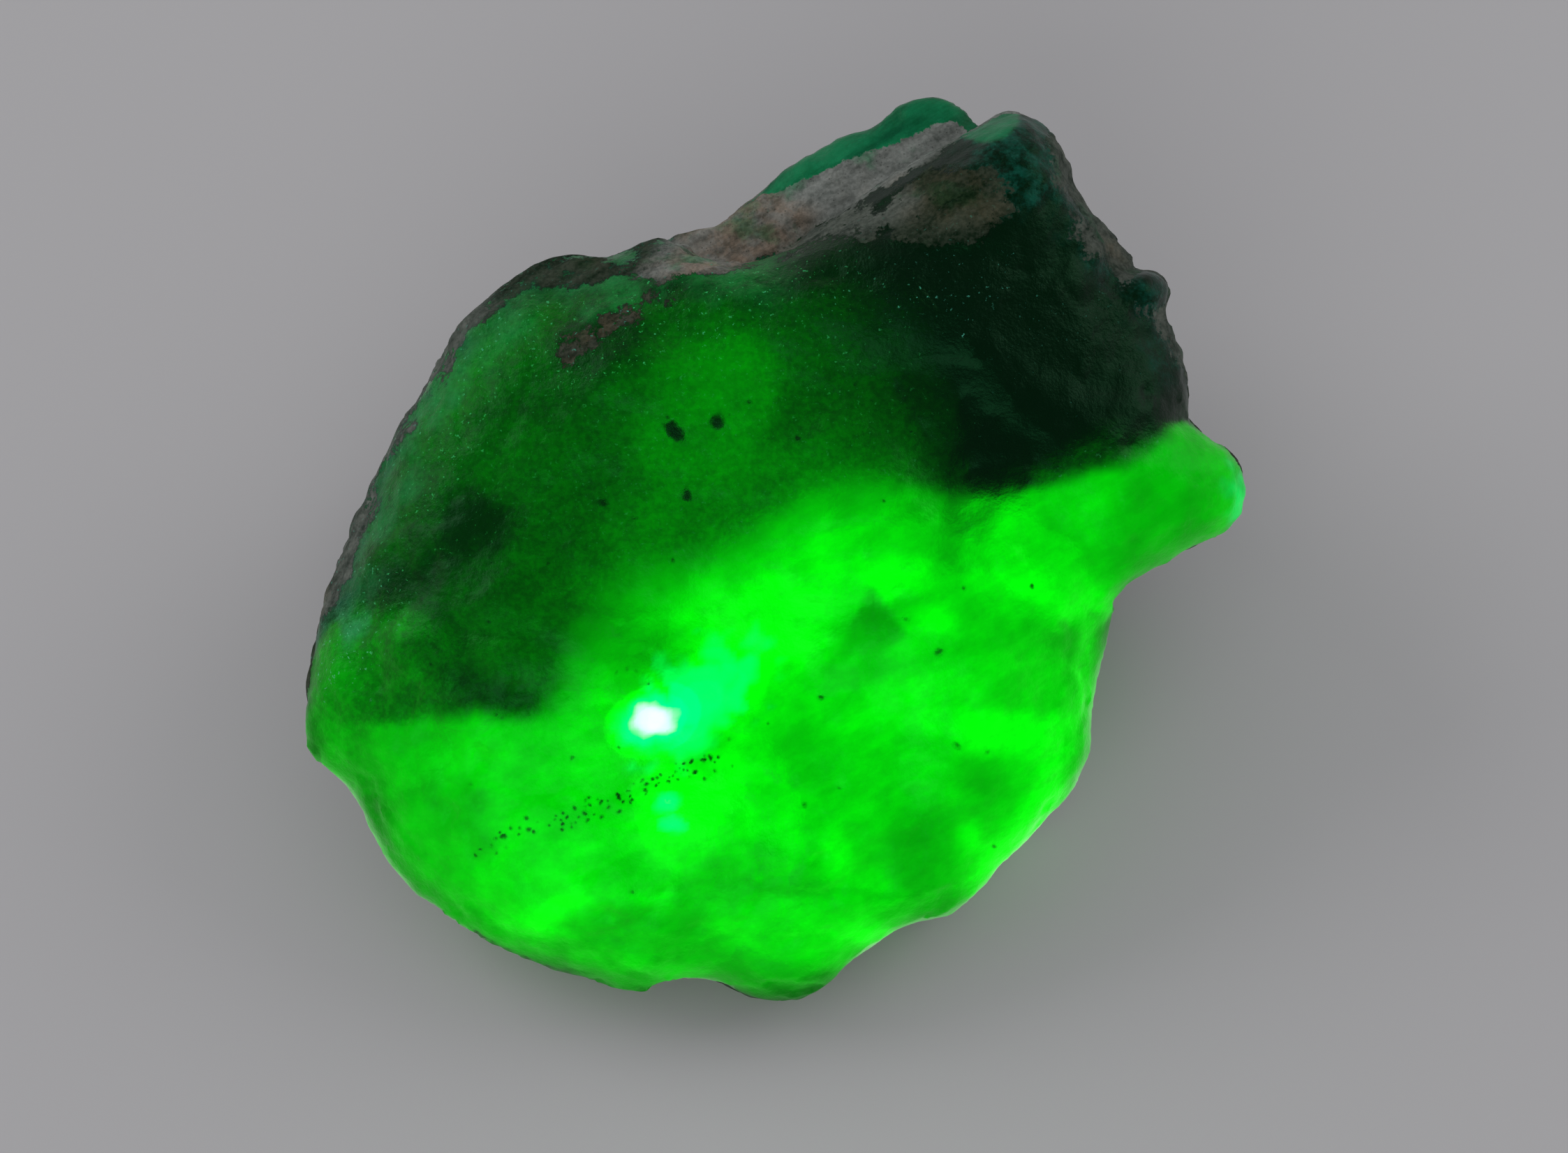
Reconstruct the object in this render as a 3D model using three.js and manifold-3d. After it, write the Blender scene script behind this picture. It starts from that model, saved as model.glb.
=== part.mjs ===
// A raw emerald: one irregular broken lump of green beryl with a skin of grey-brown mica schist.
// Units are millimetres, +Z is up, and the origin is at the bottom centre of the stone's box.
//
// The stone is a thick wedge. Its broadest section, the girdle, leans back: low at the front, high at
// the rear. Every swelling of the stone is a lump with an outline drawn on the girdle plane, a dome on
// the front of it and another behind. The lumps are joined, then broken surfaces are cut off the join.
// u runs right along the girdle plane, v runs up along it, and w stands out of it towards the front.

import * as THREE from "three";
import { mergeVertices } from "three/addons/utils/BufferGeometryUtils.js";
import { ImprovedNoise } from "three/addons/math/ImprovedNoise.js";
import Module from "manifold-3d";

// Driving dimensions.
const GIRDLE_LEAN = THREE.MathUtils.degToRad(30); // from the horizontal
const GIRDLE_HEIGHT = 9.2; // of the girdle plane's centre above the resting face
const WAVINESS = 1.2; // height of the broad swells on the faces
const SWELL_SIZE = 7; // breadth of those swells
const KNOBBLINESS = 0.35; // height of the small lumps on them
const KNOB_SIZE = 2.4; // breadth of those lumps
const RIM_SOFTENING = 0.06; // share of an outline that its softened copy averages over, each way
const RIM_STEPS = 160; // points that an outline is measured at
const CUTTER_SIZE = 80; // larger than the stone in every direction

const wasm = await Module();
wasm.setup();

// --- Solids -----------------------------------------------------------------------------------------

function toSolid(geometry) {
  const bare = geometry.clone();
  bare.deleteAttribute("normal");
  bare.deleteAttribute("uv");
  const merged = mergeVertices(bare, 1e-4);
  return new wasm.Manifold(
    new wasm.Mesh({
      numProp: 3,
      vertProperties: new Float32Array(merged.attributes.position.array),
      triVerts: new Uint32Array(merged.index.array),
    }),
  );
}

function toGeometry(solid) {
  const mesh = solid.getMesh();
  const geometry = new THREE.BufferGeometry();
  geometry.setAttribute("position", new THREE.BufferAttribute(mesh.vertProperties, 3));
  geometry.setIndex(new THREE.BufferAttribute(mesh.triVerts, 1));
  geometry.computeVertexNormals();
  return geometry;
}

// Turns a solid from the girdle's u, v and w to the stone as it rests.
function toPlace(solid) {
  const lean = new THREE.Matrix4().makeRotationX(GIRDLE_LEAN);
  const lift = new THREE.Matrix4().makeTranslation(0, 0, GIRDLE_HEIGHT);
  return solid.transform(lift.multiply(lean).toArray());
}

// --- Lumps ------------------------------------------------------------------------------------------

const noise = new ImprovedNoise();

function unevenness({ x, y, z }) {
  const swell = noise.noise(x / SWELL_SIZE + 3.1, y / SWELL_SIZE, z / SWELL_SIZE);
  const knobs = noise.noise(x / KNOB_SIZE, y / KNOB_SIZE + 7.7, z / KNOB_SIZE);
  return WAVINESS * swell + KNOBBLINESS * knobs;
}

function average(points) {
  const sum = points.reduce((total, point) => total.add(point), new THREE.Vector3());
  return sum.divideScalar(points.length);
}

// The points within a number of steps of one on a closed outline.
function around(points, index, reach) {
  const near = [];
  for (let k = -reach; k <= reach; k++) near.push(points[(index + k + points.length) % points.length]);
  return near;
}

// The place a share of the way round a closed outline.
function along(points, share) {
  const at = share * points.length;
  const before = Math.floor(at);
  const next = points[(before + 1) % points.length];
  return points[before % points.length].clone().lerp(next, at - before);
}

// A closed body round an outline on the girdle plane, listed clockwise. front and back are the depths
// of its two domes, level is where its own outline sits along w, and square is under 1 for steep sides
// and a flat middle. The outline's small bumps fade towards the poles, so that they leave no ribs.
function lump({ outline, front, back, level = 0, square = 0.6, detail = 8 }) {
  const corners = outline.map(([u, v]) => new THREE.Vector3(u, v, 0));
  const rim = new THREE.CatmullRomCurve3(corners, true, "centripetal");
  const sharp = rim.getSpacedPoints(RIM_STEPS).slice(0, RIM_STEPS);
  const reach = Math.round(RIM_STEPS * RIM_SOFTENING);
  const soft = sharp.map((_, i) => average(around(sharp, i, reach)));
  const middle = average(sharp);

  const ball = new THREE.IcosahedronGeometry(1, detail);
  const position = ball.attributes.position;
  const vertex = new THREE.Vector3();
  for (let i = 0; i < position.count; i++) {
    vertex.fromBufferAttribute(position, i);
    const outward = vertex.clone();
    const turn = 1 - Math.atan2(vertex.y, vertex.x) / (2 * Math.PI);
    const rise = vertex.z;
    const nearness = Math.hypot(vertex.x, vertex.y); // 1 on the outline and 0 at the poles
    const rimPoint = along(soft, turn % 1).lerp(along(sharp, turn % 1), nearness ** 3);
    vertex.lerpVectors(middle, rimPoint, nearness ** square);
    vertex.z = level + rise * (rise > 0 ? front : back);
    vertex.addScaledVector(outward, unevenness(vertex) * Math.abs(rise));
    position.setXYZ(i, vertex.x, vertex.y, vertex.z);
  }
  return toSolid(ball);
}

// The main mass, from the thin front edge to the crest of the thick rear.
const mainMass = {
  outline: [
    [14.2, 4.55], [15.3, 3.8], [16.1, 3.0], [16.4, 2.1], [16.2, 1.2], [15.5, 0.55], [14.2, 0.0],
    [12.9, -0.75], [12.0, -1.4], [11.4, -3.6], [10.95, -5.4], [10.9, -7.1], [10.4, -8.2],
    [8.7, -10.1], [7.0, -11.8], [6.4, -12.5], [5.2, -12.95], [4.3, -13.1], [2.6, -14.3], [0.9, -15.5],
    [-0.9, -15.6], [-1.8, -15.0], [-3.4, -14.8], [-4.6, -15.3], [-7.2, -14.7], [-9.8, -13.9],
    [-11.8, -12.6], [-13.6, -10.6], [-14.8, -8.4], [-16.1, -7.0], [-16.4, -5.9], [-16.1, -3.4],
    [-15.3, -0.4], [-14.2, 2.1], [-13.2, 4.1], [-11.9, 6.2], [-10.9, 8.1], [-9.4, 9.3], [-7.8, 10.2],
    [-5.6, 10.35], [-3.9, 10.9], [-2.2, 10.0], [0.0, 10.2], [1.6, 11.3], [3.6, 12.7], [5.6, 14.0],
    [7.3, 14.9], [8.3, 15.3], [9.2, 15.0], [10.1, 13.7], [10.3, 12.8], [11.9, 10.8], [12.5, 9.8],
    [13.4, 9.3], [13.5, 8.2], [14.15, 6.6], [14.3, 5.2],
  ],
  front: 4.4,
  back: 17,
  square: 0.5,
  detail: 19,
};

// The lip behind the crest: the face of schist and, along its edge, a last band of beryl.
const rearLip = {
  outline: [
    [-4.6, 9.8], [-3.5, 11.2], [-2.5, 11.15], [-1.3, 12.0], [0.0, 13.2], [1.6, 14.2], [3.5, 15.0],
    [4.6, 15.75], [5.8, 15.95], [6.7, 15.35], [8.0, 13.6], [7.6, 10.2], [3.6, 7.4], [-1.2, 7.0],
    [-4.6, 8.0],
  ],
  front: 0.8,
  back: 11,
  level: -1.6,
  square: 0.4,
  detail: 9,
};

// The knob that tops the rear right.
const knob = {
  outline: [
    [5.0, 13.3], [7.2, 14.7], [8.6, 15.1], [9.9, 13.9], [10.3, 12.2], [11.4, 10.4], [11.2, 6.6],
    [8.4, 4.8], [4.6, 6.4], [2.6, 10.8],
  ],
  front: 3.4,
  back: 5,
  level: 0.2,
  square: 0.6,
  detail: 8,
};

// --- Broken surfaces --------------------------------------------------------------------------------

// What a break takes off the stone. The normal points out of the stone. With a radius the break is a
// shallow shell, hollowed by a ball that just reaches the point. Without one it is flat.
function broken({ point, normal, radius }) {
  const outward = new THREE.Vector3(...normal).normalize();
  if (radius) {
    const ball = new THREE.IcosahedronGeometry(radius, 22);
    ball.translate(...new THREE.Vector3(...point).addScaledVector(outward, radius));
    return toSolid(ball);
  }
  const box = new THREE.BoxGeometry(CUTTER_SIZE, CUTTER_SIZE, CUTTER_SIZE);
  box.translate(0, 0, CUTTER_SIZE / 2);
  box.applyQuaternion(new THREE.Quaternion().setFromUnitVectors(new THREE.Vector3(0, 0, 1), outward));
  box.translate(...point);
  return toSolid(box);
}

// On the front, by u, v and w.
const frontBreaks = [
  { point: [10.2, -5.0, 2.2], normal: [0.84, -0.02, 0.54], radius: 6 }, // scoop down the right edge
  { point: [-7.6, 8.3, 2.2], normal: [-0.22, 0.7, 0.68], radius: 30 }, // shoulder on the upper left
  { point: [-13.0, 2.4, 2.0], normal: [-0.83, 0.25, 0.5], radius: 30 }, // worn side on the left
  { point: [4.5, -8.0, 3.75], normal: [0.25, -0.35, 0.9], radius: 60 }, // flat on the lower right
];

// Round the walls, by x, y and z as the stone rests, before it is centred.
const wallBreaks = [
  { point: [-3.4, 11.6, 14.5], normal: [-0.44, 0.9, -0.02], radius: 48 }, // rear left
  { point: [1.5, 12.9, 6.0], normal: [-0.1, 0.93, -0.35], radius: 60 }, // under the rear lip
  { point: [11.3, 11.2, 14.6], normal: [0.72, 0.66, -0.12], radius: 60 }, // rear right
  { point: [9.4, 11.2, 3.6], normal: [0.6, 0.72, -0.35], radius: 90 }, // foot of the rear right
  { point: [-10.8, 7.6, 4.0], normal: [-0.74, 0.55, -0.4], radius: 90 }, // under the rear left
  { point: [-14.6, -2.0, 3.9], normal: [-0.84, 0.05, -0.54], radius: 90 }, // under the left side
  { point: [13.2, -0.8, 5.1], normal: [0.82, -0.3, -0.48], radius: 50 }, // under the spur
  { point: [13.4, 6.0, 5.0], normal: [0.86, 0.28, -0.4], radius: 70 }, // behind the spur
  { point: [-10.0, -9.6, 1.6], normal: [-0.42, -0.45, -0.8] }, // under the front left
  { point: [7.6, -10.0, 1.9], normal: [0.42, -0.5, -0.76] }, // under the front right
];

const restingFace = { point: [0, 0, 0], normal: [0, 0, -1] };

// --- Assembly ---------------------------------------------------------------------------------------

function rawStone() {
  let stone = [mainMass, rearLip, knob].map(lump).reduce((whole, next) => whole.add(next));
  for (const part of frontBreaks) stone = stone.subtract(broken(part));
  stone = toPlace(stone);
  for (const part of [...wallBreaks, restingFace]) stone = stone.subtract(broken(part));
  return stone;
}

const emerald = new THREE.Mesh(
  toGeometry(rawStone()),
  new THREE.MeshStandardMaterial({ color: 0x0b8a2a, roughness: 0.45, metalness: 0 }),
);
emerald.name = "emerald_crystal";
emerald.geometry.computeBoundingBox();
const centre = emerald.geometry.boundingBox.getCenter(new THREE.Vector3());
emerald.position.set(-centre.x, -centre.y, 0);

const part = new THREE.Group();
part.add(emerald);
export default part;
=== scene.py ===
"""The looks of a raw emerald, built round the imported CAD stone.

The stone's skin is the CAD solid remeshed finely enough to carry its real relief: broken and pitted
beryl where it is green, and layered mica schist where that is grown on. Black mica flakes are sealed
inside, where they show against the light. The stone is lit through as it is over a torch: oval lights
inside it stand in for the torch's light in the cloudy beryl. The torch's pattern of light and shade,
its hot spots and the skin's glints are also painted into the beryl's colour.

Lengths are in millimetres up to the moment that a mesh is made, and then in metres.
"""

import math
import random

import bpy
import numpy as np
from mathutils import Matrix, Vector, noise
from mathutils.bvhtree import BVHTree


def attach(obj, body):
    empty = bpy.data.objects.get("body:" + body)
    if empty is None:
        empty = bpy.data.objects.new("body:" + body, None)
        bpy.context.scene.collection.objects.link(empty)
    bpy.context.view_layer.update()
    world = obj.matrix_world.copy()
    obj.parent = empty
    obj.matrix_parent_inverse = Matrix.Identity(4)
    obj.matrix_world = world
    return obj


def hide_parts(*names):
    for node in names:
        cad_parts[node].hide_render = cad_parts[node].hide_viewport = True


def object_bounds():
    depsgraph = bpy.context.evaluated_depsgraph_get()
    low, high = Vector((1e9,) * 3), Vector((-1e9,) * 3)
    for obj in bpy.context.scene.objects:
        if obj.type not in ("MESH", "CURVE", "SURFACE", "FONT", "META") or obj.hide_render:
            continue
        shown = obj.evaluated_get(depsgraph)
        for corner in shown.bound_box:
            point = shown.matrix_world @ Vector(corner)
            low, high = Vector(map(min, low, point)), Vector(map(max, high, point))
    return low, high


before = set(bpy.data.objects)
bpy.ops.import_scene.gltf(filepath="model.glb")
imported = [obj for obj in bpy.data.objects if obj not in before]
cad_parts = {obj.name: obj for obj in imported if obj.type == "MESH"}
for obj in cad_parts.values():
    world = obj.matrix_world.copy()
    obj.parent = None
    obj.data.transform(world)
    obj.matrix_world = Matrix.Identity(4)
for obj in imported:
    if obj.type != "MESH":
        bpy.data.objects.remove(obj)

MM = 0.001
NODE = "emerald_crystal"
cad_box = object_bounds()

# The girdle is the stone's broadest section. u runs right along it, v up along it, and w out of it
# towards the front. The lean and the height are those of the CAD source, and the centre is where it
# comes to lie once that source has centred the stone's box.
GIRDLE_LEAN = math.radians(30)
GIRDLE_CENTRE = np.array([0.0, -1.265, 9.2])
U_AXIS = np.array([1.0, 0.0, 0.0])
V_AXIS = np.array([0.0, math.cos(GIRDLE_LEAN), math.sin(GIRDLE_LEAN)])
W_AXIS = np.array([0.0, -math.sin(GIRDLE_LEAN), math.cos(GIRDLE_LEAN)])

VOXEL = 0.2  # of the remeshed skin
SMOOTHING_PASSES = 10
REST_FLAT = 0.15  # below this height the skin lies flat on the floor, and
REST_FREE = 0.45  # above this one it is free of it
LAYER_TURN = math.radians(32)  # the schist's layers run up to the right on the girdle by this much
LAYER_STRETCH = 5.0  # and are this many times longer than thick
BERYL_IOR = 1.58
BERYL_COLOUR = (0.03, 0.92, 0.2, 1)
BERYL_DENSITY = 420  # of the absorption, per metre
# How the painted glow's brightness becomes the beryl's colour.
PAINTED_GLOW_POWER = 4.4
SEED = 11


def to_girdle(points):
    offset = points - GIRDLE_CENTRE
    return offset @ U_AXIS, offset @ V_AXIS, offset @ W_AXIS


def from_girdle(u, v, w):
    return GIRDLE_CENTRE + u * U_AXIS + v * V_AXIS + w * W_AXIS


# --- Fields over the skin ------------------------------------------------------------------------------


def rough(points, size, seed=0.0):
    """Smooth noise from about -1 to 1 at each point, with features of about one size in mm."""
    scaled = points / size + seed
    return np.array([noise.noise(point) for point in scaled.tolist()])


def chipped(points, size, seed=0.0):
    """The height of flat chips, each tilted its own way: about -1 to 1, with sharp edges between."""
    heights = np.empty(len(points))
    for i, point in enumerate((points / size + seed).tolist()):
        here = Vector(point)
        nearest = noise.voronoi(here)[1][0]
        tilt = noise.cell_vector(nearest * 7.3) - Vector((0.5, 0.5, 0.5))
        heights[i] = 2 * tilt.dot(here - nearest)
    return heights


def ramp(value, low, high):
    """0 below low, 1 above high, and a smooth step between. low may be above high."""
    share = np.clip((value - low) / (high - low), 0, 1)
    return share * share * (3 - 2 * share)


def from_path(u, v, path):
    """The distance of each u, v from a line through a few points."""
    nearest = np.full(len(u), np.inf)
    for (u0, v0), (u1, v1) in zip(path, path[1:]):
        du, dv = u1 - u0, v1 - v0
        share = np.clip(((u - u0) * du + (v - v0) * dv) / (du * du + dv * dv), 0, 1)
        nearest = np.minimum(nearest, np.hypot(u - u0 - share * du, v - v0 - share * dv))
    return nearest


def inside(u, v, corners):
    """How far each u, v is inside a closed outline: positive inside and negative outside."""
    crossings = np.zeros(len(u), dtype=int)
    closed = corners + corners[:1]
    for (u0, v0), (u1, v1) in zip(closed, closed[1:]):
        spans = (v0 > v) != (v1 > v)
        rise = v1 - v0 if v1 != v0 else 1e-9
        crossings += spans & (u < u0 + (v - v0) * (u1 - u0) / rise)
    return np.where(crossings % 2 == 1, 1, -1) * from_path(u, v, closed)


def oval(u, v, centre, reach, turn=0.0):
    """1 at the middle of an oval, 0 at its edge and less beyond. turn is in degrees."""
    c, s = math.cos(math.radians(turn)), math.sin(math.radians(turn))
    du, dv = u - centre[0], v - centre[1]
    return 1 - np.hypot((du * c + dv * s) / reach[0], (dv * c - du * s) / reach[1])


# --- The skin ------------------------------------------------------------------------------------------


def remeshed(source, voxel):
    """The points and faces, in mm, of a mesh object remeshed in even voxels."""
    mesh = source.data.copy()
    mesh.transform(Matrix.Scale(1 / MM, 4))
    work = bpy.data.objects.new("work", mesh)
    bpy.context.collection.objects.link(work)
    modifier = work.modifiers.new("remesh", "REMESH")
    modifier.mode = "VOXEL"
    modifier.voxel_size = voxel
    bpy.context.view_layer.update()
    done = work.evaluated_get(bpy.context.evaluated_depsgraph_get()).data
    points = np.empty(len(done.vertices) * 3)
    done.vertices.foreach_get("co", points)
    faces = [tuple(polygon.vertices) for polygon in done.polygons]
    bpy.data.objects.remove(work)
    return points.reshape(-1, 3), faces


def smoothed(points, faces, passes):
    """The points with the voxels' steps smoothed away.

    Every other pass pushes out, so that no edge shrinks.
    """
    pairs = np.array([(a, b) for face in faces for a, b in zip(face, face[1:] + face[:1])])
    count = np.bincount(pairs[:, 0], minlength=len(points))[:, None]
    for turn in range(passes):
        total = np.zeros_like(points)
        np.add.at(total, pairs[:, 0], points[pairs[:, 1]])
        share = 0.5 if turn % 2 == 0 else -0.51
        points = points + share * (total / np.maximum(count, 1) - points)
    return points


def normals_of(points, faces):
    quads = np.array([face if len(face) == 4 else face + face[-1:] for face in faces])
    across = points[quads[:, 2]] - points[quads[:, 0]]
    along = points[quads[:, 3]] - points[quads[:, 1]]
    normal = np.cross(across, along)
    total = np.zeros_like(points)
    for corner in range(4):
        np.add.at(total, quads[:, corner], normal)
    return total / np.maximum(np.linalg.norm(total, axis=1, keepdims=True), 1e-12)


# What shows where on the front, by u and v on the girdle.
BAND = [
    (-4.8, 9.4), (-3.4, 9.4), (-1.9, 9.5), (0.1, 10.4), (1.3, 11.3), (2.9, 12.1), (4.6, 13.1), (5.8, 14.0),
    (7.2, 14.9), (6.6, 15.2), (5.4, 14.9), (4.0, 14.2), (2.0, 13.5), (0.0, 12.9), (-1.5, 11.9), (-3.5, 11.2),
]
LIP = [(-0.2, 13.2), (2.2, 14.4), (4.4, 15.5), (5.8, 16.0), (7.3, 15.2)]
LEFT_STRIP = [(-11.2, 8.5), (-12.9, 5.9), (-14.2, 3.4), (-15.3, 0.6), (-15.9, -1.2)]
RIGHT_RIM = [(10.5, 13.4), (11.3, 11.8), (12.5, 10.4), (13.9, 9.0), (14.2, 7.6)]
KNOB_PATCH = [
    (-2.2, 9.6), (0.6, 10.2), (3.0, 10.5), (4.9, 10.2), (7.2, 10.3), (8.2, 11.6), (7.4, 13.2), (5.4, 13.2),
    (3.4, 12.2), (1.0, 11.2),
]
BELOW_BAND = [(-1.4, 9.9), (1.4, 10.8), (4.2, 12.1)]
BROWN_STREAK = [(-7.0, 6.9), (-6.1, 7.4), (-5.2, 8.1)]
SHOULDER = [(-10.6, 8.6), (-8.4, 9.7), (-6.0, 9.6), (-4.0, 9.8), (-4.6, 10.8)]

# Painted light and shade of the torch: the lower part, which the torch lights, and the parts of the upper
# one. Then ovals: centre, reach, turn in degrees, and how bright the middle is painted.
BRIGHT = [
    (-18.0, -5.9), (-12.5, -5.9), (-10.0, -5.6), (-7.5, -5.6), (-6.8, -4.3), (-6.0, -2.7), (-4.5, -1.5),
    (-2.5, -0.9), (-0.5, -0.2), (0.6, 0.7), (2.0, 1.5), (3.6, 2.0), (4.8, 2.1), (6.0, 1.8), (8.0, 2.1),
    (10.5, 2.5), (12.0, 3.0), (13.4, 4.0), (14.4, 5.4), (20.0, 6.0), (20.0, -20.0), (-18.0, -20.0),
]
MIDDLE = [
    (-4.6, 4.4), (-3.8, 6.6), (-1.6, 7.3), (-0.2, 6.2), (-0.6, 3.8), (3.0, 3.3), (5.4, 2.9), (6.4, 0.5),
    (-7.0, -6.5), (-10.0, -6.5), (-9.0, -3.5), (-7.0, -1.5), (-5.5, 0.5), (-4.4, 2.0),
]
TENT = [(3.2, -1.1), (3.8, -2.0), (4.5, -2.9), (3.4, -3.6), (1.7, -4.4), (2.3, -3.0)]
DUSK = [
    (2.4, 10.4), (3.6, 7.4), (5.4, 5.0), (6.2, 3.6), (10.0, 3.8), (12.6, 4.7), (14.4, 6.0), (13.0, 10.5),
    (8.0, 13.0),
]
DARK = [
    (6.2, 8.6), (9.0, 9.6), (12.7, 8.5), (12.7, 6.2), (11.2, 5.2), (9.0, 4.3), (6.9, 4.0), (6.3, 5.4),
    (6.7, 6.5),
]
UPPER_OVALS = [
    ((-1.8, 5.6), (2.6, 2.8), 20, 0.52),
    ((-2.8, 3.4), (2.2, 1.8), 0, 0.49),
    ((-8.2, 5.0), (3.0, 1.4), 10, 0.27),
    ((-5.8, 7.0), (2.4, 2.0), 10, 0.19),
    ((-11.4, 6.4), (1.8, 3.2), -30, 0.42),
    ((-9.6, 7.4), (2.2, 1.2), 30, 0.40),
    ((-5.4, 9.4), (3.6, 1.3), 5, 0.24),
    ((-11.6, 0.4), (3.4, 2.4), 30, 0.25),
    ((-10.5, 0.9), (1.4, 1.7), -20, 0.08),
    ((-12.7, -1.2), (2.0, 1.1), 25, 0.17),
    ((-9.6, -2.9), (5.2, 2.3), 5, 0.43),
    ((-15.0, -4.0), (2.6, 2.6), 0, 0.52),
]
LOWER_OVALS = [
    ((-2.0, -4.2), (5.4, 2.2), 30, 1.0),
    ((-1.6, -11.4), (3.0, 2.2), 0, 0.70),
    ((-0.6, -7.6), (3.0, 1.6), 0, 0.78),
    ((9.3, -0.3), (2.4, 1.6), 10, 0.78),
    ((-3.6, -9.2), (3.4, 1.0), 12, 0.93),
    ((4.5, -0.7), (2.1, 1.2), 0, 0.99),
    ((5.5, -2.4), (1.4, 0.9), 0, 0.99),
    ((4.2, -5.4), (3.2, 1.4), 10, 0.99),
    ((2.1, -10.4), (0.8, 1.4), 0, 0.98),
    ((6.6, -9.8), (0.7, 1.2), 10, 0.98),
    ((-7.5, -12.5), (1.7, 0.9), 25, 0.98),
    ((3.4, -13.2), (1.5, 0.7), 15, 0.98),
    ((-10.8, -8.6), (2.2, 1.1), 40, 0.66),
    ((-10.2, -10.1), (1.5, 0.9), 0, 0.68),
    ((-12.6, -6.4), (1.6, 1.2), 0, 0.62),
    ((5.0, -10.2), (2.0, 3.6), -10, 0.70),
    ((7.0, -8.0), (1.5, 2.0), 0, 0.76),
    ((-4.0, -13.2), (3.6, 1.5), -5, 0.62),
    ((0.3, -7.6), (2.0, 1.2), 0, 0.80),
    ((0.5, -13.2), (3.4, 1.8), 0, 0.80),
    ((8.2, -2.4), (2.6, 2.2), 20, 0.82),
]
EDGE_GLOW = [(6.6, -6.2), (10.0, -6.4), (9.5, -8.4), (8.2, -10.2), (7.2, -11.5)]
EDGE_STREAK = [(10.9, -2.6), (10.5, -4.0), (10.9, -5.4)]
WEDGE = [(-12.4, -3.3), (-11.3, -4.1), (-9.9, -4.9), (-8.6, -5.2)]
CREST_CRUSH = [(-9.5, 7.6), (-5.5, 8.0), (-2.4, 8.4), (0.4, 8.6), (3.6, 8.8), (6.8, 9.0)]
CREST_SHADOW = [(-5.2, 10.4), (-4.0, 9.6), (-2.2, 9.6), (0.6, 9.8), (3.4, 9.9), (6.4, 9.4)]


def bump_share(u, v):
    """The small green lump on the right rim."""
    return ramp(oval(u, v, (12.8, 9.0), (1.0, 0.9)), 0.0, 0.8)


def schist_cover(points, normals):
    """How much schist there is at each point, from 0 to 1, before fine noise breaks its edges."""
    u, v, w = to_girdle(points)
    patchy = rough(points, 1.6, 5.0) + 0.5 * rough(points, 0.7, 25.0)
    broad = rough(points, 4.5, 27.0)
    outward, upward = normals @ W_AXIS, normals @ V_AXIS
    front = ramp(outward, -0.1, 0.15)
    lip = ramp(from_path(u, v, LIP) + 0.2 * patchy, 0.8, 0.4) * ramp(outward + 0.08 * patchy, 0.05, 0.25)
    band = ramp(inside(u, v, BAND) + 0.2 * patchy, -0.35, 0.35)
    knob = ramp(inside(u, v, KNOB_PATCH) + 0.6 * patchy, -0.5, 0.6) * 0.68
    shoulder = ramp(from_path(u, v, SHOULDER) - 0.9 * patchy, 1.4, 0.2) * 0.6
    brown = ramp(from_path(u, v, BROWN_STREAK) - 0.4 * patchy, 0.9, 0.0) * 0.6
    strip = ramp(from_path(u, v, LEFT_STRIP) - 0.5 * patchy, 1.5, 0.4) * (0.7 + 0.2 * patchy)
    rim = ramp(from_path(u, v, RIGHT_RIM) - 0.6 * patchy, 2.1, 0.6) * (0.7 + 0.2 * patchy)
    rim = rim * (1 - bump_share(u, v) * front)
    seen = np.maximum.reduce([np.maximum.reduce([band, knob, shoulder, brown]) * front, strip, rim])
    rear = ramp(upward + 0.5 * broad, -0.05, 0.35) * ramp(outward + 0.3 * patchy, 0.3, -0.05) * 0.95
    wall = ramp(2.0 * broad + 0.5 * patchy + 0.7 * upward, -0.1, 0.5) * ramp(outward, 0.3, -0.1)
    wall = wall * ramp(w, -1.8, -3.4) * 0.8
    return np.maximum.reduce([seen, rear, wall]) * (1 - lip)


def pale_cover(points, normals):
    """How pale the skin is: 1 on the grey band and the green lip behind it, and 0 on the dark knob."""
    u, v, w = to_girdle(points)
    band = ramp(inside(u, v, BAND), -0.4, 0.3)
    streak = ramp(from_path(u, v, BROWN_STREAK), 1.2, 0.6) * 0.1
    below = ramp(from_path(u, v, BELOW_BAND), 1.2, 0.3) * 0.3
    edges = np.maximum(
        ramp(from_path(u, v, LEFT_STRIP), 2.0, 0.8) * 0.4,
        ramp(from_path(u, v, RIGHT_RIM), 2.4, 0.8) * 0.28,
    )
    edges = edges + 0.25 * edges * rough(points, 1.0, 61.0)
    walls = np.maximum(ramp(w, -2.5, -4.5), ramp(normals @ W_AXIS, 0.05, -0.25))
    walls = walls * (0.5 + 0.4 * rough(points, 3.5, 71.0))
    lip = ramp(from_path(u, v, LIP), 1.6, 0.9)
    return np.maximum.reduce([band, streak, below, edges, walls, lip])


def oval_share(u, v, centre, reach, turn, drift):
    """1 in the middle of an oval and 0 outside it, with an edge that drift breaks up."""
    return ramp(oval(u, v, centre, reach, turn) + 0.36 * drift, -0.05, 0.85)


def towards(level, share, value):
    return level + share * (value - level)


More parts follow.
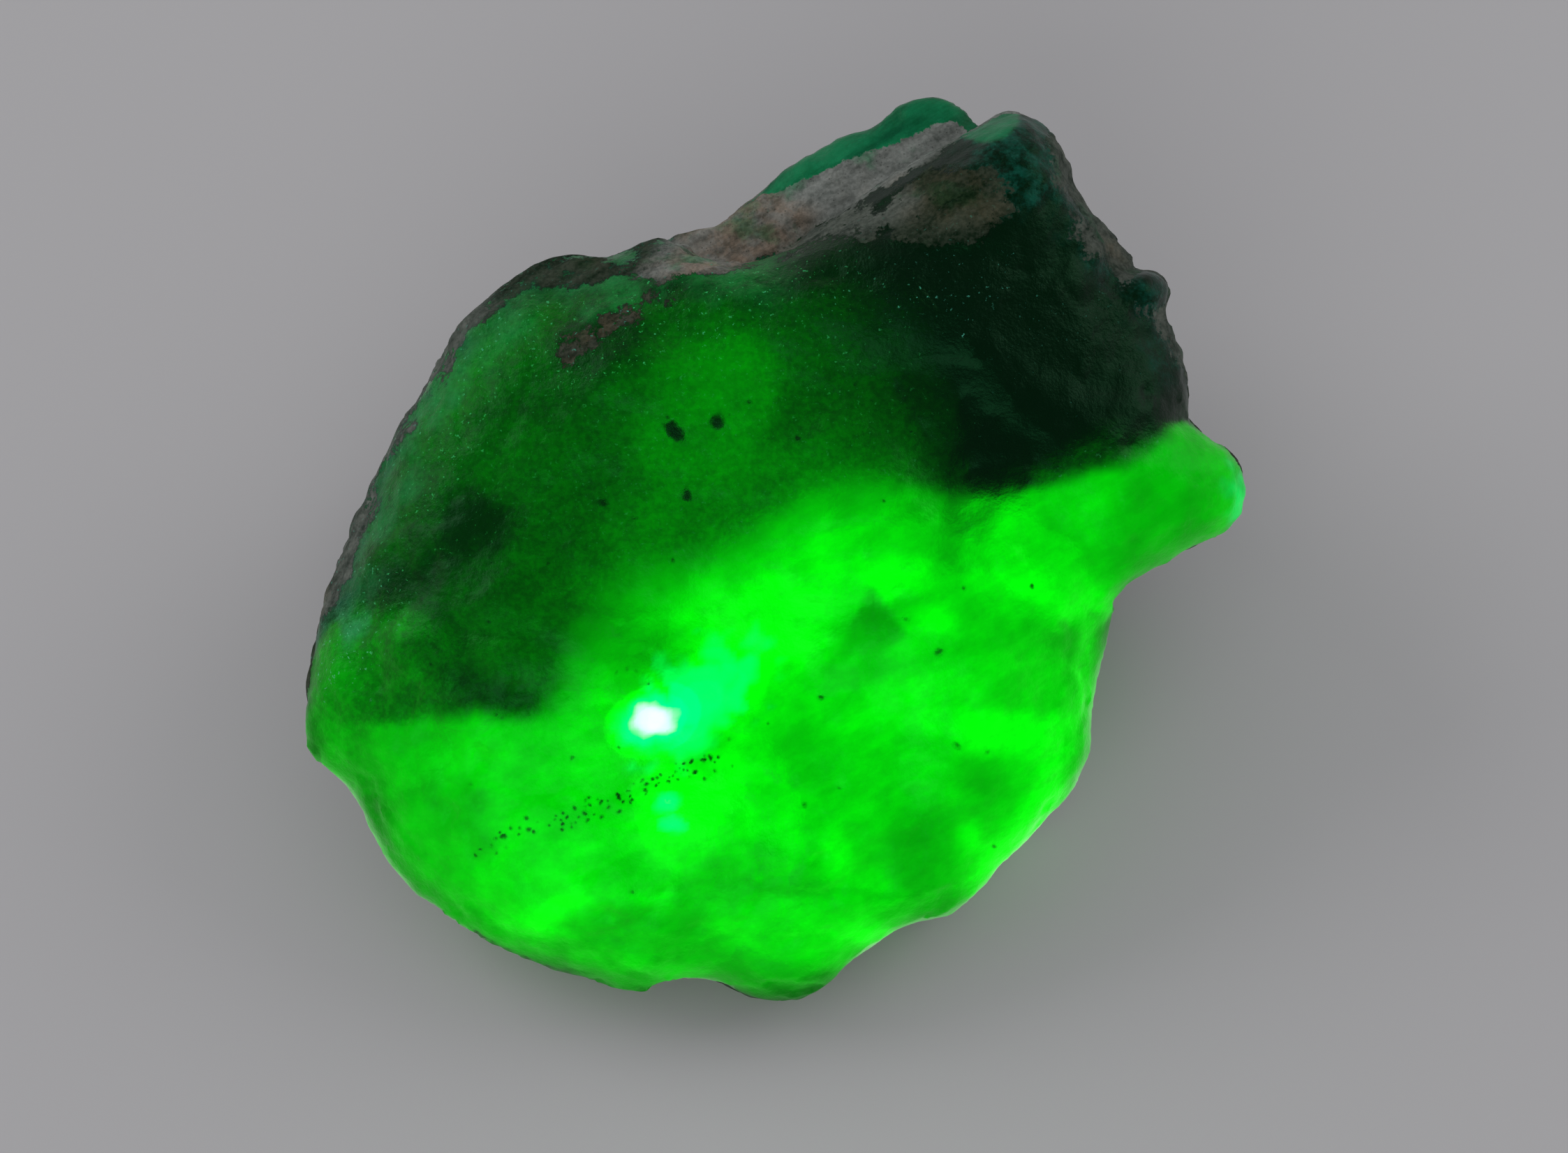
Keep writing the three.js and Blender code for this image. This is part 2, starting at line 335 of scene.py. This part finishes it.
def painted_glow_cover(points, normals):
    """The torch's light and shade from inside, painted into the beryl: how bright it is, from 0 to 1, as the
    eye sees it.
    """
    u, v, w = to_girdle(points)
    drift = rough(points, 2.6, 15.0) + 0.5 * rough(points, 1.1, 21.0) + 0.35 * rough(points, 0.5, 23.0)
    upper = np.full(len(u), 0.34)
    upper = towards(upper, ramp(inside(u, v, MIDDLE) + 0.4 * drift, -1.1, 0.9), 0.46)
    for centre, reach, turn, value in UPPER_OVALS:
        upper = towards(upper, oval_share(u, v, centre, reach, turn, drift), value)
    upper = towards(upper, ramp(from_path(u, v, WEDGE) + 0.4 * drift, 1.0, 0.0), 0.27)
    upper = towards(upper, ramp(inside(u, v, DUSK) + 0.5 * drift, -2.2, 1.2), 0.20)
    upper = towards(upper, ramp(inside(u, v, DARK) + 0.5 * drift, -1.0, 1.0), 0.08)
    upper = towards(upper, ramp(from_path(u, v, CREST_SHADOW) + 0.3 * drift, 1.3, 0.3), 0.15)

    lower = 0.84 - 0.18 * ramp(u, -9.0, -13.5) - 0.12 * ramp(u, -12.5, -15.0) - 0.16 * ramp(u, 10.8, 12.6)
    lower = lower - 0.12 * ramp(v, -12.5, -15.0)
    for centre, reach, turn, value in LOWER_OVALS:
        lower = towards(lower, oval_share(u, v, centre, reach, turn, drift), value)
    lower = towards(lower, ramp(from_path(u, v, EDGE_GLOW) + 0.2 * drift, 1.1, 0.3), 1.0)
    lower = towards(lower, ramp(from_path(u, v, EDGE_STREAK) + 0.1 * drift, 0.6, 0.1), 1.0)
    tent = ramp(inside(u, v, TENT) + 0.05 * drift, -0.15, 0.2) * ramp(v + 0.5 * u, -2.8, -0.6)
    lower = towards(lower, tent, 0.66)
    lower = lower + 0.12 * ramp(u, 14.2, 16.0)
    lower = lower + 0.35 * ramp(normals @ W_AXIS, 0.6, 0.1) * ramp(w, -2.5, -0.5) * ramp(u, -12.0, -15.0)
    soft = 0.55 + 1.3 * ramp(np.abs(u + 2.2), 6.6, 4.0)
    share = ramp((inside(u, v, BRIGHT) + 0.25 * drift) / soft, -1.0, 0.7)
    return np.clip(towards(upper, share, lower), 0.02, 1.0)


# Two small cool spots of the torch's light, painted pale into the skin and lit by small lamps inside.
COOL_SPOTS = [(-3.8, -8.55), (-3.5, -9.35)]


def painted_hot_spot_cover(points):
    """Where the torch's blue-white hot spots are painted pale into the skin, and the spur's tip is painted
    brighter, from 0 to 1.
    """
    u, v, _ = to_girdle(points)
    ragged = 0.6 * rough(points, 0.5, 31.0) + 0.5 * rough(points, 1.1, 33.0)
    core = ramp(oval(u, v, (-4.2, -5.75), (1.45, 1.0), 10) + 0.55 * ragged, -0.05, 0.9) * 0.95
    halo = ramp(oval(u, v, (-2.6, -4.9), (2.9, 1.9), 35) + 0.9 * ragged, 0.1, 0.7) * 0.34
    halo = np.maximum(halo, ramp(oval(u, v, (-3.0, -6.4), (1.8, 0.9), 0) + 0.5 * ragged, 0.2, 0.8) * 0.3)
    small = [ramp(oval(u, v, place, (0.5, 0.4)) + 0.7 * ragged, 0.0, 0.8) * 0.42 for place in COOL_SPOTS]
    tip = ramp(oval(u, v, (16.4, 1.6), (1.3, 2.2), 15) + 0.5 * ragged, 0.1, 0.9) * 0.3
    return np.maximum.reduce([core, halo, tip, *small])


def frost_cover(points, normals):
    """How far the beryl is clouded by its rough, crushed skin, from 0 to 1."""
    u, v, w = to_girdle(points)
    patchy = rough(points, 1.4, 9.0) + 0.5 * rough(points, 0.6, 29.0)
    lip = ramp(from_path(u, v, LIP), 1.6, 0.8) * ramp(normals @ W_AXIS, -0.1, 0.3) * 1.6
    knob = ramp(oval(u, v, (8.6, 13.8), (3.2, 3.0)) + 0.3 * patchy, 0.0, 0.5) * 0.62
    right = ramp(from_path(u, v, RIGHT_RIM) + 0.8 * patchy, 2.6, 0.8) * 0.5
    upper = ramp(v + 0.25 * np.abs(u + 3) + 1.6 * patchy, 8.6, 11.4) * ramp(u, 1.0, -2.0) * 0.4
    left = ramp(from_path(u, v, LEFT_STRIP) + 1.1 * patchy, 2.2, 0.6) * 0.42
    back = ramp(normals @ W_AXIS, 0.3, -0.1) * ramp(w, -0.8, -3.0) * 0.6
    return np.maximum.reduce([lip, knob, right, upper, left, back, np.zeros(len(u))])


def rust_cover(points):
    """Where the schist is stained brown by iron, from 0 to 1."""
    u, v, _ = to_girdle(points)
    drift = rough(points, 1.5, 63.0)
    streak = ramp(from_path(u, v, BROWN_STREAK) + 0.3 * drift, 1.6, 0.6) * 0.8
    band = ramp(oval(u, v, (-1.2, 11.0), (3.4, 1.7), 32) + 0.5 * drift, 0.0, 0.7) * 0.8
    knob = ramp(oval(u, v, (6.2, 12.2), (2.4, 1.6), 10) + 0.4 * drift, 0.0, 0.6) * 0.6
    elsewhere = ramp(rough(points, 3.0, 65.0), 0.15, 0.6) * 0.7
    return np.maximum.reduce([streak, band, knob, elsewhere])


def painted_glint_and_crush_cover(points):
    """Where the skin of the beryl is crushed fine, which roughens its bump, and where painted glints are
    put, from 0 to 1.
    """
    u, v, _ = to_girdle(points)
    drift = rough(points, 1.6, 67.0) + 0.5 * rough(points, 0.8, 69.0)
    crest = ramp(from_path(u, v, CREST_CRUSH) + 1.4 * drift, 2.6, 0.4)
    left = ramp(from_path(u, v, LEFT_STRIP) + 1.6 * drift, 4.2, 1.0) * 0.9
    dark = ramp(oval(u, v, (10.0, 6.8), (4.0, 4.0)) + 0.7 * drift, 0.0, 0.9) * 0.6
    elsewhere = ramp(v + 3.0 * drift, -4.0, 9.0) * 0.12
    return np.clip(np.maximum.reduce([crest, left, dark, elsewhere]), 0, 1)


def relief(points, normals, schist):
    """The height of the skin's own relief at each point, in mm."""
    u, v, w = to_girdle(points)
    along = u * math.cos(LAYER_TURN) + v * math.sin(LAYER_TURN)
    across = v * math.cos(LAYER_TURN) - u * math.sin(LAYER_TURN)
    layered = np.stack([along / LAYER_STRETCH, across, w], 1)
    beryl = (
        0.12 * rough(points, 1.7, 2.0)
        + 0.08 * chipped(points, 2.6, 4.0)
        + 0.03 * chipped(points, 1.1, 8.0)
        + 0.04 * rough(points, 0.55, 6.0)
        - 0.10 * ramp(rough(points, 0.9, 12.0), 0.35, 0.7)
    )
    layers = (
        0.16 * rough(layered, 0.55, 3.0)
        + 0.10 * chipped(layered, 0.9, 1.0)
        + 0.07 * rough(points, 0.5, 7.0)
    )
    bump = 0.45 * bump_share(u, v)
    scallops = 0.16 * rough(points, 1.2, 41.0) * ramp(from_path(u, v, LEFT_STRIP), 1.4, 0.4)
    turned = ramp(normals @ W_AXIS, 0.2, -0.3)
    coarse = 0.35 * rough(points, 3.6, 51.0) + 0.30 * chipped(points, 4.2, 53.0) - 0.15
    return beryl * (1 - schist) + (layers + 0.06) * schist + bump + scallops + coarse * turned


def add_attribute(mesh, name, values):
    attribute = mesh.attributes.new(name, "FLOAT", "POINT")
    attribute.data.foreach_set("value", values.astype(np.float32))


def make_object(name, points, faces, smooth=True):
    mesh = bpy.data.meshes.new(name)
    mesh.from_pydata((np.asarray(points) * MM).tolist(), [], faces)
    if smooth:
        mesh.polygons.foreach_set("use_smooth", [True] * len(mesh.polygons))
    made = bpy.data.objects.new(name, mesh)
    bpy.context.collection.objects.link(made)
    return made


def carve_skin():
    points, faces = remeshed(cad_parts[NODE], VOXEL)
    points = smoothed(points, faces, SMOOTHING_PASSES)
    normals = normals_of(points, faces)
    schist = schist_cover(points, normals)
    frost = frost_cover(points, normals)
    points = points + normals * relief(points, normals, schist)[:, None]
    low, high = (np.array(corner) / MM for corner in cad_box)
    points = np.clip(points, low, high)
    resting = ramp(points[:, 2], REST_FREE, REST_FLAT)
    points[:, 2] *= 1 - resting
    fields = {
        "schist": schist,
        "pale": pale_cover(points, normals),
        "frost": frost,
        "painted_glow": painted_glow_cover(points, normals),
        "painted_hot_spots": painted_hot_spot_cover(points),
        "rust": rust_cover(points),
        "painted_glint_and_crush": painted_glint_and_crush_cover(points),
    }
    return points, faces, fields


skin, skin_faces, skin_fields = carve_skin()
skin_tree = BVHTree.FromPolygons(skin.tolist(), skin_faces)


def surface_height(u, v):
    """How far along w the front of the stone is at a place on the girdle."""
    above = 30  # well clear of the stone
    hit = skin_tree.ray_cast(Vector(from_girdle(u, v, above)), Vector(-W_AXIS))
    return above - hit[3]


# --- Materials -----------------------------------------------------------------------------------------


class Paint:
    """A node material with short calls for the nodes that this script uses."""

    def __init__(self, name):
        self.material = bpy.data.materials.new(name)
        self.material.use_nodes = True
        self.tree = self.material.node_tree
        self.shader = self.tree.nodes["Principled BSDF"]
        self.place = self.tree.nodes.new("ShaderNodeTexCoord").outputs["Object"]

    def put(self, socket, value):
        if hasattr(value, "links"):
            self.tree.links.new(value, socket)
        elif isinstance(value, tuple) and len(value) == 3 and socket.type == "RGBA":
            socket.default_value = (*value, 1)
        else:
            socket.default_value = value

    def set(self, **values):
        for name, value in values.items():
            self.put(self.shader.inputs[name.replace("_", " ")], value)

    def attribute(self, name):
        node = self.tree.nodes.new("ShaderNodeAttribute")
        node.attribute_name = name
        return node.outputs["Fac"]

    def noise(self, size, detail=4.0, roughness=0.6, place=None):
        """Noise from 0 to 1 with features of about one size in mm."""
        node = self.tree.nodes.new("ShaderNodeTexNoise")
        node.inputs["Scale"].default_value = 1 / (size * MM)
        node.inputs["Detail"].default_value = detail
        node.inputs["Roughness"].default_value = roughness
        self.tree.links.new(place or self.place, node.inputs["Vector"])
        return node.outputs["Fac"]

    def cells(self, size):
        """The distance from the middle of the nearest of many cells of about one size in mm."""
        node = self.tree.nodes.new("ShaderNodeTexVoronoi")
        node.inputs["Scale"].default_value = 1 / (size * MM)
        self.tree.links.new(self.place, node.inputs["Vector"])
        return node.outputs["Distance"]

    def layered(self, stretch):
        """The place, turned to the schist's layers and drawn out along them."""
        node = self.tree.nodes.new("ShaderNodeMapping")
        node.vector_type = "TEXTURE"
        node.inputs["Rotation"].default_value = (GIRDLE_LEAN, 0, LAYER_TURN)
        node.inputs["Scale"].default_value = (stretch, 1, 1)
        self.tree.links.new(self.place, node.inputs["Vector"])
        return node.outputs["Vector"]

    def map(self, value, low, high, to_low=0.0, to_high=1.0):
        node = self.tree.nodes.new("ShaderNodeMapRange")
        node.interpolation_type = "SMOOTHSTEP"
        self.put(node.inputs["Value"], value)
        node.inputs["From Min"].default_value = low
        node.inputs["From Max"].default_value = high
        node.inputs["To Min"].default_value = to_low
        node.inputs["To Max"].default_value = to_high
        return node.outputs["Result"]

    def math(self, operation, a, b):
        node = self.tree.nodes.new("ShaderNodeMath")
        node.operation = operation
        self.put(node.inputs[0], a)
        self.put(node.inputs[1], b)
        return node.outputs["Value"]

    def blend(self, share, a, b, mode="MIX"):
        node = self.tree.nodes.new("ShaderNodeMix")
        node.data_type = "RGBA"
        node.blend_type = mode
        self.put(node.inputs["Factor"], share)
        self.put(node.inputs["A"], a)
        self.put(node.inputs["B"], b)
        return next(o for o in node.outputs if o.type == "RGBA")

    def bump(self, height, depth, strength):
        node = self.tree.nodes.new("ShaderNodeBump")
        node.inputs["Strength"].default_value = strength
        node.inputs["Distance"].default_value = depth * MM
        self.tree.links.new(height, node.inputs["Height"])
        self.tree.links.new(node.outputs["Normal"], self.shader.inputs["Normal"])


def painted_glow_green(paint):
    """The colour of clear beryl with painted light and shade: the torch's pattern sets how much of the light
    from inside passes, and its hot spots are painted pale.

    The eye's brightness becomes light by a power of 2.2, and a Principled shader tints by the root, so
    that the power here is twice that.
    """
    cloud = paint.map(paint.noise(2.4, 6, 0.65), 0.3, 0.7, 0.91, 1.06)
    wisps = paint.map(paint.noise(0.9, 6, 0.65, paint.layered(LAYER_STRETCH / 2)), 0.3, 0.7, 0.94, 1.05)
    level = paint.math("MULTIPLY", paint.attribute("painted_glow"), paint.math("MULTIPLY", cloud, wisps))
    # Where the painted glow is dim, a fine dusty grain is added.
    dusty_where_dim = paint.map(paint.attribute("painted_glow"), 0.65, 0.45)
    grain = paint.map(paint.noise(0.25, 4, 0.7), 0.3, 0.7, -0.05, 0.05)
    level = paint.math("ADD", level, paint.math("MULTIPLY", grain, dusty_where_dim))
    # The painted light and shade, from near black to bright green.
    green = paint.blend(paint.math("POWER", level, PAINTED_GLOW_POWER), (0.0, 0.0002, 0.0), (0.0, 0.95, 0.0))
    # The painted hot spots: brighter green, then pale blue-white at their cores.
    painted_hot_spots = paint.attribute("painted_hot_spots")
    green = paint.blend(paint.map(painted_hot_spots, 0.0, 0.4), green, (0.0, 0.95, 0.06))
    return paint.blend(paint.map(painted_hot_spots, 0.4, 0.95), green, (0.6, 1.0, 0.9))


def crushed_green(paint, frost, layers):
    """The colour of cloudy, crushed beryl: mottled, and smoother and veined where it is thickest."""
    mottle = paint.map(paint.noise(0.9, 6, 0.65), 0.36, 0.62)
    mottled = paint.blend(mottle, (0.004, 0.06, 0.036), (0.009, 0.14, 0.092))
    crumbs = paint.map(paint.noise(0.14, 2), 0.45, 0.7, 0, 0.45)
    mottled = paint.blend(crumbs, mottled, (0.035, 0.21, 0.16))
    veins = paint.map(paint.noise(1.0, 6, 0.65, layers), 0.35, 0.65)
    veined = paint.blend(veins, (0.004, 0.10, 0.035), (0.012, 0.27, 0.10))
    return paint.blend(paint.map(frost, 0.7, 1.1, 0.0, 0.85), mottled, veined)


def schist_grey(paint, layers):
    """The colour of the mica schist: streaked along its layers, stained by iron and beryl, and flecked."""
    streaks = paint.math("MULTIPLY", paint.map(paint.noise(0.6, 6, 0.6, layers), 0.3, 0.7), 0.65)
    grit = paint.math("MULTIPLY", paint.map(paint.noise(0.16, 3), 0.35, 0.65), 0.35)
    streaks = paint.math("ADD", streaks, grit)
    dark_schist = paint.blend(streaks, (0.002, 0.008, 0.003), (0.062, 0.072, 0.052))
    pale_schist = paint.blend(streaks, (0.085, 0.092, 0.085), (0.32, 0.33, 0.31))
    schist = paint.blend(paint.attribute("pale"), dark_schist, pale_schist)
    patches = paint.map(paint.noise(0.7, 5), 0.35, 0.6, 0.3, 1.0)
    rust = paint.math("MULTIPLY", paint.attribute("rust"), patches)
    rusty = paint.blend(rust, schist, (1.2, 0.82, 0.64), "MULTIPLY")
    green_share = paint.map(paint.noise(1.8, 6), 0.52, 0.68, 0, 0.7)
    stained = paint.blend(green_share, rusty, (0.3, 0.95, 0.55), "MULTIPLY")
    flecks = paint.map(paint.cells(0.2), 0.2, 0.1, 0, 0.45)
    return paint.blend(flecks, stained, (0.03, 0.03, 0.028))


def emerald_paint():
    paint = Paint("emerald")
    layers = paint.layered(LAYER_STRETCH)
    fine = paint.noise(0.5, 5)
    crumbs = paint.math("ADD", fine, paint.noise(0.17, 3, 0.6))
    broken = paint.math("ADD", paint.attribute("schist"), paint.math("MULTIPLY", crumbs, 0.8))
    schist_share = paint.map(broken, 1.2, 1.36)
    schist_root = paint.map(broken, 1.14, 1.28)
    frost = paint.attribute("frost")
    frost_share = paint.math("MULTIPLY", frost, paint.map(paint.noise(0.5, 6, 0.7), 0.25, 0.7))
    frost_share = paint.math("MAXIMUM", frost_share, paint.map(frost, 0.7, 1.3, 0.0, 0.9))
    frost_share = paint.math("MINIMUM", frost_share, 1.0)
    beryl = paint.blend(frost_share, painted_glow_green(paint), crushed_green(paint, frost, layers))
    coat = paint.blend(schist_share, beryl, schist_grey(paint, layers))

    # Painted glints: tiny bright facets of crushed beryl, painted pale into the colour, thickest on the
    # upper part where the painted glow is dim.
    painted_glints = paint.map(paint.noise(0.15, 3, 0.6), 0.64, 0.74)
    painted_glints = paint.math("MULTIPLY", painted_glints, paint.map(paint.attribute("painted_glow"), 0.62, 0.5))
    painted_glints = paint.math("MULTIPLY", painted_glints, paint.attribute("painted_glint_and_crush"))
    paint.set(Base_Color=paint.blend(painted_glints, coat, (0.07, 0.38, 0.26)))

    # The stone is opaque a little before it turns pale, or its edges would let white light through.
    solid = paint.math("MAXIMUM", schist_root, painted_glints)
    passing = paint.map(frost_share, 0.0, 0.5, 0.97, 0.12)
    worn = paint.math("ADD", schist_share, paint.math("MULTIPLY", fine, 0.3))
    paint.set(
        Transmission_Weight=paint.math("MULTIPLY", passing, paint.math("SUBTRACT", 1.0, solid)),
        Roughness=paint.map(worn, 0.1, 1.2, 0.32, 0.85),
        IOR=BERYL_IOR,
        Specular_IOR_Level=0.25,
        Specular_Tint=(0.06, 0.4, 0.14, 1.0),
    )
    crushed = paint.map(paint.attribute("painted_glint_and_crush"), 0.0, 1.0, 0.6, 1.3)
    pits = paint.math("MULTIPLY", paint.noise(0.18, 4), crushed)
    grit = paint.math("MULTIPLY", paint.noise(0.3, 5, 0.7, layers), schist_share)
    paint.bump(paint.math("ADD", pits, grit), depth=0.12, strength=0.4)

    absorption = paint.tree.nodes.new("ShaderNodeVolumeAbsorption")
    absorption.inputs["Color"].default_value = BERYL_COLOUR
    absorption.inputs["Density"].default_value = BERYL_DENSITY
    paint.tree.links.new(absorption.outputs["Volume"], paint.tree.nodes["Material Output"].inputs["Volume"])
    return paint.material


def mica_paint():
    paint = Paint("black_mica")
    tone = paint.map(paint.noise(0.3), 0.4, 0.6)
    paint.set(Base_Color=paint.blend(tone, (0.004, 0.006, 0.004), (0.02, 0.03, 0.02)), Roughness=0.4)
    paint.bump(paint.noise(0.15, 3), depth=0.03, strength=1.0)
    return paint.material


# --- Pieces --------------------------------------------------------------------------------------------


def finish_piece(piece, paint):
    piece.data.materials.append(paint)
    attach(piece, "root")


body = make_object("emerald_body", skin, skin_faces)
for field, values in skin_fields.items():
    add_attribute(body.data, field, values)
finish_piece(body, emerald_paint())
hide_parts(NODE)

dice = random.Random(SEED)
MICA_THICKNESS = 0.06
MICA_TILT = 25  # degrees at most
MICA_PER_LEG = 14  # small flakes on each leg of the trail
MICA_SCATTERED = 40


def flake(place, size, thickness, tilt):
    """The points and faces of one thin plate with an uneven outline, across the girdle's w."""
    corners = dice.randint(5, 7)
    start = dice.uniform(0, 2 * math.pi)
    stretch = dice.uniform(1.0, 1.7)
    turn = Matrix.Rotation(dice.uniform(0, math.pi), 3, "Z")
    axis = Vector((dice.random(), dice.random(), 0.1))
    lean = Matrix.Rotation(math.radians(dice.uniform(-tilt, tilt)), 3, axis)
    points = []
    for side in (-0.5, 0.5):
        for k in range(corners):
            angle = start + 2 * math.pi * k / corners
            reach = size / 2 * dice.uniform(0.75, 1.15)
            corner = Vector((reach * stretch * math.cos(angle), reach * math.sin(angle), side * thickness))
            local = turn @ lean @ corner
            points.append(np.array(place) + local.x * U_AXIS + local.y * V_AXIS + local.z * W_AXIS)
    rim = [(k, (k + 1) % corners, corners + (k + 1) % corners, corners + k) for k in range(corners)]
    return points, [tuple(reversed(range(corners))), tuple(range(corners, 2 * corners))] + rim


def joined(parts):
    points, faces = [], []
    for part_points, part_faces in parts:
        shift = len(points)
        points += part_points
        faces += [tuple(index + shift for index in face) for face in part_faces]
    return points, faces


def sealed_flake(u, v, size, depth):
    w = surface_height(u, v) - depth
    return flake(from_girdle(u, v, w), size, MICA_THICKNESS, MICA_TILT)


# The large flakes, by u, v and size, and the path of the trail of small ones.
MICA_LARGE = [
    (-3.45, 4.1, 0.6), (-2.04, 4.4, 0.45), (-3.0, 1.9, 0.36), (-5.9, 1.6, 0.26), (5.5, -3.4, 0.24),
    (1.6, -5.0, 0.25),
]
MICA_TRAIL = [
    (-10.1, -10.2), (-8.6, -9.5), (-6.9, -9.0), (-5.2, -8.3), (-3.4, -7.5), (-1.8, -7.1), (-4.2, -8.0),
    (-7.8, -9.7),
]


def mica():
    parts = [sealed_flake(u, v, size, 1.3) for u, v, size in MICA_LARGE]
    for (u0, v0), (u1, v1) in zip(MICA_TRAIL, MICA_TRAIL[1:]):
        for _ in range(MICA_PER_LEG):
            share = dice.random()
            u = u0 + share * (u1 - u0) + dice.gauss(0, 0.25)
            v = v0 + share * (v1 - v0) + dice.gauss(0, 0.2)
            parts.append(sealed_flake(u, v, dice.uniform(0.05, 0.13), dice.uniform(0.4, 0.7)))
    for _ in range(MICA_SCATTERED):
        u, v = dice.uniform(-12, 9), dice.uniform(-12, 6)
        parts.append(sealed_flake(u, v, dice.uniform(0.06, 0.14), dice.uniform(0.5, 1.2)))
    return joined(parts)


mica_flakes = make_object("mica_flakes", *mica(), smooth=False)
finish_piece(mica_flakes, mica_paint())


# --- Floor, light and camera -----------------------------------------------------------------------------

FLOOR_REACH = 900


def make_floor():
    corners = [(-1, -1), (1, -1), (1, 1), (-1, 1)]
    points = [(x * FLOOR_REACH, y * FLOOR_REACH, 0.0) for x, y in corners]
    floor = make_object("floor", points, [(0, 1, 2, 3)], smooth=False)
    paint = Paint("pale_floor")
    paint.set(Base_Color=(0.56, 0.545, 0.555), Roughness=0.9)
    floor.data.materials.append(paint.material)


make_floor()


def add_lamp(name, shape, width, height, power):
    data = bpy.data.lights.new(name, "AREA")
    data.shape = shape
    data.size = width * MM
    if shape == "ELLIPSE":
        data.size_y = height * MM
    data.energy = power
    lamp = bpy.data.objects.new(name, data)
    bpy.context.collection.objects.link(lamp)
    return lamp


def studio_light(name, place, size, power):
    lamp = add_lamp(name, "DISK", size, size, power)
    lamp.location = Vector(place) * MM
    lamp.rotation_euler = (Vector((0, 0, 5)) - Vector(place)).to_track_quat("-Z", "Y").to_euler()


SHELL_GAP = 0.02


def inner_light(name, u, v, w, width, height, turn, brightness, shells=3, fade=0.5, back=False):
    """Light inside the stone, level with the girdle, that shines towards the front, or the back.

    It is a few ovals, each smaller than the last, so that it fades towards its edge.
    """
    level = Matrix((U_AXIS, V_AXIS, W_AXIS)).transposed()
    facing = Matrix.Rotation(0 if back else math.pi, 3, "X")
    turned = level @ Matrix.Rotation(math.radians(turn), 3, "Z") @ facing
    for shell in range(shells):
        share = 1 - fade * shell / shells
        area = math.pi * width * height / 4 * (share * MM) ** 2
        power = math.pi * area * brightness / shells
        lamp = add_lamp(f"{name}_{shell}", "ELLIPSE", width * share, height * share, power)
        place = from_girdle(u, v, w - SHELL_GAP * shell)
        lamp.matrix_world = Matrix.Translation(Vector(place) * MM) @ turned.to_4x4()


studio_light("key", (-1200, 500, 900), 1100, 5.0)
studio_light("fill", (1200, 500, 900), 1100, 3.2)
studio_light("front", (-300, -1100, 520), 1100, 4.0)

# Each inner light has its centre's u, v and w, its width and height, its turn in degrees and its brightness.
inner_light("glow_right", 3.8, -6.0, -0.6, 17.5, 16.5, 15, 1.2)
inner_light("glow_left", -7.5, -9.0, -0.4, 16.5, 11, -12, 1.3)
inner_light("glow_tip", -13.3, -5.0, -0.4, 5.8, 6.4, 0, 1.3, fade=0.3)
inner_light("glow_edge", -13.4, -1.4, -0.9, 4.4, 4.6, 0, 0.3, shells=1)
inner_light("glow_front", -1.5, -13.2, -0.2, 11, 4.2, 0, 0.9)
inner_light("glow_heart", -1.0, -4.0, -1.5, 12, 9, 20, 0.12)
inner_light("glow_spur", 11.2, 0.95, -0.7, 10.7, 5.4, 20, 1.1, fade=0.3)
inner_light("glow_upper", -4.5, 3.0, -2.5, 22, 16, 10, 1.2)
inner_light("under_left", -6.0, -7.0, -2.6, 15, 11, -12, 0.5, shells=2, back=True)
inner_light("under_right", 4.5, -5.5, -2.6, 14, 13, 15, 0.5, shells=2, back=True)
inner_light("hot_spot", -4.2, -5.75, surface_height(-4.2, -5.75) - 1.0, 3.4, 2.4, 20, 1.3, fade=0.9)
inner_light("hot_halo", -2.7, -5.2, surface_height(-2.7, -5.2) - 1.2, 5.2, 3.2, 30, 0.6, fade=0.9)
for spot, (u, v) in enumerate(COOL_SPOTS):
    inner_light(f"cool_spot_{spot}", u, v, surface_height(u, v) - 0.7, 1.2, 1.0, 0, 0.45, shells=1)

world = bpy.data.worlds.new("studio")
world.use_nodes = True
world.node_tree.nodes["Background"].inputs["Color"].default_value = (0.95, 0.97, 1.0, 1)
world.node_tree.nodes["Background"].inputs["Strength"].default_value = 0.38
bpy.context.scene.world = world
bpy.context.scene.view_settings.view_transform = "Standard"

# The camera looks squarely at the girdle's front, from far enough that the stone keeps its outline.
CAMERA_DISTANCE = 182
LENS = 120
VIEW_WIDTH = 54.6
AIM = from_girdle(0.27, -0.87, 0)

camera_data = bpy.data.cameras.new("camera")
camera_data.lens = LENS
camera_data.sensor_width = VIEW_WIDTH * LENS / CAMERA_DISTANCE
camera_data.clip_start = 0.01
camera = bpy.data.objects.new("camera", camera_data)
bpy.context.collection.objects.link(camera)
camera.location = Vector(AIM + CAMERA_DISTANCE * W_AXIS) * MM
camera.rotation_euler = Vector(-W_AXIS).to_track_quat("-Z", "Y").to_euler()
bpy.context.scene.camera = camera
